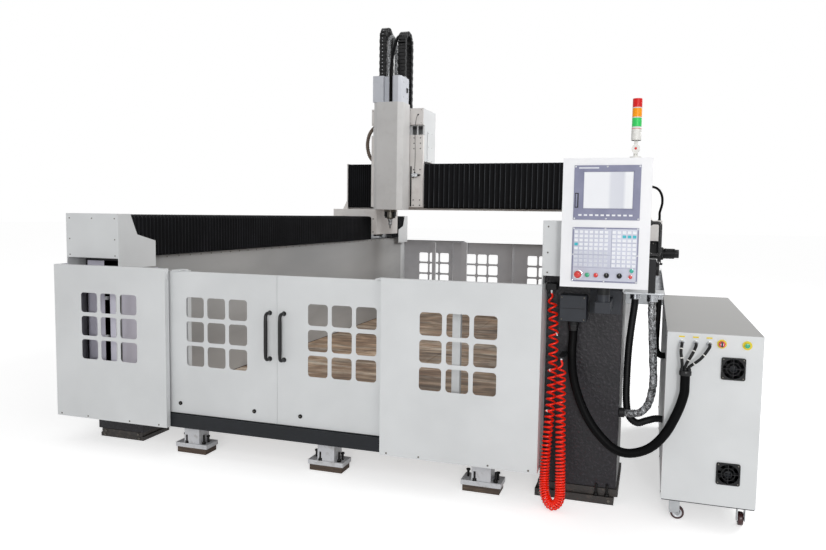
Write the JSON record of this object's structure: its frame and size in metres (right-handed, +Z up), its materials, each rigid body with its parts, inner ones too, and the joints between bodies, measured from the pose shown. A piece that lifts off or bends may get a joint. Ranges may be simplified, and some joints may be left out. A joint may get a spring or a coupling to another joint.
{
  "type": "foam cnc router",
  "caption": "Large moving-gantry router on two long walls with an enclosed bed, a vertical ram spindle, bellows, an operator pendant and a wheeled drive cabinet.",
  "frame": {"origin": "middle of the whole machine's footprint on the floor, the drive cabinet included and the free hoses left out", "axes": "+Z up; +Y along the machine from the front doors to the rear doors; +X to the operator's right, towards the pendant"},
  "size_m": [5.092, 6.757, 4.1452],
  "materials": {
    "dark_paint": "charcoal hammer paint",
    "sheet_metal": "silver grey sheet",
    "foot_paint": "white paint, dark pads",
    "white_paint": "white powder coat",
    "wood": "raw particle board",
    "sill_paint": "blue black paint",
    "bracket_paint": "grey paint",
    "bellows": "coated fabric, pleated",
    "cabinet_frame": "dark paint",
    "black_plastic": "black moulded plastic",
    "red_hose": "glossy polyurethane",
    "black_hose": "smooth black sheath",
    "wrapped_hose": "clear wrap on dark conduit",
    "machine_grey": "light grey paint",
    "motor_black": "black motor paint",
    "chain_plastic": "black chain links",
    "steel": "ground steel",
    "pendant_paint": "near white paint",
    "panel_grey": "blue grey bezel and key panel, pale screen",
    "key_plastic": "pale keys",
    "lens": "coloured lens tiers on a white base",
    "red_button": "red moulded plastic",
    "green_button": "green moulded plastic",
    "wheel_rubber": "dark maroon tread"
  },
  "bodies": {
    "frame": {"walls": "dark_paint", "wall_sheets": "sheet_metal", "floor_feet": "foot_paint", "rail_end_boxes": "white_paint", "table_frame": "dark_paint", "boards": "wood", "fixed_panels": "white_paint", "door_sills": "sill_paint", "pendant_bracket": "bracket_paint", "hose_fittings": "black_plastic", "y_bellows_front": "bellows", "y_bellows_rear": "bellows", "cabinet_body": "white_paint", "cabinet_base": "cabinet_frame", "cabinet_fittings": "black_plastic", "coil_hose": "red_hose", "main_hose": "black_hose", "splitter": "black_plastic", "cable_a": "black_hose", "cable_b": "black_hose", "cable_c": "black_hose", "wrapped_hose": "wrapped_hose", "feed_hose": "black_hose", "loop_hose": "black_hose"},
    "gantry": {"saddles": "machine_grey", "beam": "machine_grey", "y_motors": "motor_black", "x_bellows_left": "bellows", "x_bellows_right": "bellows"},
    "carriage": {"carriage": "machine_grey", "carriage_conduit": "chain_plastic"},
    "ram": {"ram": "machine_grey", "spindle_body": "motor_black", "z_chains": "chain_plastic"},
    "rotor": {"spindle_nose": "steel"},
    "door_fl": {"door_front_left": "white_paint"},
    "door_fr": {"door_front_right": "white_paint"},
    "door_rl": {"door_rear_left": "white_paint"},
    "door_rr": {"door_rear_right": "white_paint"},
    "pendant": {"pendant_housing": "pendant_paint", "pendant_panels": "panel_grey", "keys": "key_plastic", "pendant_handle": "black_plastic"},
    "lamp": {"signal_lamp": "lens"},
    "estop": {"e_stop": "red_button"},
    "start": {"start_button": "green_button"},
    "stop": {"stop_button": "red_button"},
    "knob_l": {"knob_left": "black_plastic"},
    "knob_r": {"knob_right": "black_plastic"},
    "wheel_hand": {"handwheel": "black_plastic"},
    "cab_switch": {"cabinet_switch": "red_button"},
    "cab_button": {"cabinet_button": "green_button"},
    "fan_u": {"fan_upper": "black_plastic"},
    "fan_l": {"fan_lower": "black_plastic"},
    "fork_l": {"fork_left": "steel"},
    "fork_r": {"fork_right": "steel"},
    "wheel_fl": {"wheel_front_left": "wheel_rubber"},
    "wheel_fr": {"wheel_front_right": "wheel_rubber"},
    "wheel_rl": {"wheel_rear_left": "wheel_rubber"},
    "wheel_rr": {"wheel_rear_right": "wheel_rubber"}
  },
  "joints": [
    {"name": "gantry_y", "type": "slide", "parent": "frame", "child": "gantry", "axis": [0, 1, 0], "range_m": [-4.3, 0], "deforming": ["y_bellows_front", "y_bellows_rear"]},
    {"name": "carriage_x", "type": "slide", "parent": "gantry", "child": "carriage", "axis": [1, 0, 0], "range_m": [0, 2.4], "deforming": ["x_bellows_left", "x_bellows_right"]},
    {"name": "ram_z", "type": "slide", "parent": "carriage", "child": "ram", "axis": [0, 0, 1], "range_m": [-1, 0], "deforming": ["z_chains"]},
    {"name": "spindle", "type": "hinge", "parent": "ram", "child": "rotor", "pos_m": [-1.331, 1.6575, 1.633], "axis": [0, 0, 1], "continuous": true},
    {"name": "door_front_left", "type": "slide", "parent": "frame", "child": "door_fl", "axis": [-1, 0, 0], "range_m": [0, 0.74]},
    {"name": "door_front_right", "type": "slide", "parent": "frame", "child": "door_fr", "axis": [1, 0, 0], "range_m": [0, 0.67]},
    {"name": "door_rear_left", "type": "slide", "parent": "frame", "child": "door_rl", "axis": [-1, 0, 0], "range_m": [0, 0.67]},
    {"name": "door_rear_right", "type": "slide", "parent": "frame", "child": "door_rr", "axis": [1, 0, 0], "range_m": [0, 0.74]},
    {"name": "pendant_swivel", "type": "hinge", "parent": "frame", "child": "pendant", "pos_m": [1.725, -3.2875, 1.29], "axis": [0, 0, 1], "range_deg": [-35, 35]},
    {"name": "lamp_fold", "type": "hinge", "parent": "pendant", "child": "lamp", "pos_m": [1.864, -3.2875, 2.0503], "axis": [0, 1, 0], "range_deg": [0, 90]},
    {"name": "e_stop", "type": "slide", "parent": "pendant", "child": "estop", "axis": [0, 1, 0], "range_m": [0, 0.004], "stiffness_N_per_m": 1500},
    {"name": "start_button", "type": "slide", "parent": "pendant", "child": "start", "axis": [0, 1, 0], "range_m": [0, 0.004], "stiffness_N_per_m": 1500},
    {"name": "stop_button", "type": "slide", "parent": "pendant", "child": "stop", "axis": [0, 1, 0], "range_m": [0, 0.004], "stiffness_N_per_m": 1500},
    {"name": "knob_left", "type": "hinge", "parent": "pendant", "child": "knob_l", "pos_m": [1.741, -3.3465, 1.379], "axis": [0, 1, 0], "range_deg": [-135, 135]},
    {"name": "knob_right", "type": "hinge", "parent": "pendant", "child": "knob_r", "pos_m": [1.807, -3.3465, 1.379], "axis": [0, 1, 0], "range_deg": [-135, 135]},
    {"name": "handwheel", "type": "hinge", "parent": "pendant", "child": "wheel_hand", "pos_m": [1.994, -3.2875, 1.42], "axis": [1, 0, 0], "continuous": true},
    {"name": "cabinet_switch", "type": "hinge", "parent": "frame", "child": "cab_switch", "pos_m": [2.34, -3.1725, 1.022], "axis": [0, 1, 0], "range_deg": [0, 90]},
    {"name": "cabinet_button", "type": "slide", "parent": "frame", "child": "cab_button", "axis": [0, 1, 0], "range_m": [0, 0.003], "stiffness_N_per_m": 1500},
    {"name": "fan_upper", "type": "hinge", "parent": "frame", "child": "fan_u", "pos_m": [2.402, -3.1725, 0.892], "axis": [0, 1, 0], "continuous": true},
    {"name": "fan_lower", "type": "hinge", "parent": "frame", "child": "fan_l", "pos_m": [2.402, -3.1725, 0.317], "axis": [0, 1, 0], "continuous": true},
    {"name": "caster_swivel_left", "type": "hinge", "parent": "frame", "child": "fork_l", "pos_m": [2.129, -3.0875, 0.135], "axis": [0, 0, 1], "continuous": true},
    {"name": "caster_swivel_right", "type": "hinge", "parent": "frame", "child": "fork_r", "pos_m": [2.486, -3.0875, 0.135], "axis": [0, 0, 1], "continuous": true},
    {"name": "wheel_front_left", "type": "hinge", "parent": "fork_l", "child": "wheel_fl", "pos_m": [2.157, -3.0875, 0.038], "axis": [0, 1, 0], "continuous": true},
    {"name": "wheel_front_right", "type": "hinge", "parent": "fork_r", "child": "wheel_fr", "pos_m": [2.486, -3.0595, 0.038], "axis": [1, 0, 0], "continuous": true},
    {"name": "wheel_rear_left", "type": "hinge", "parent": "frame", "child": "wheel_rl", "pos_m": [2.129, -1.2295, 0.038], "axis": [1, 0, 0], "continuous": true},
    {"name": "wheel_rear_right", "type": "hinge", "parent": "frame", "child": "wheel_rr", "pos_m": [2.486, -1.2295, 0.038], "axis": [1, 0, 0], "continuous": true}
  ]
}
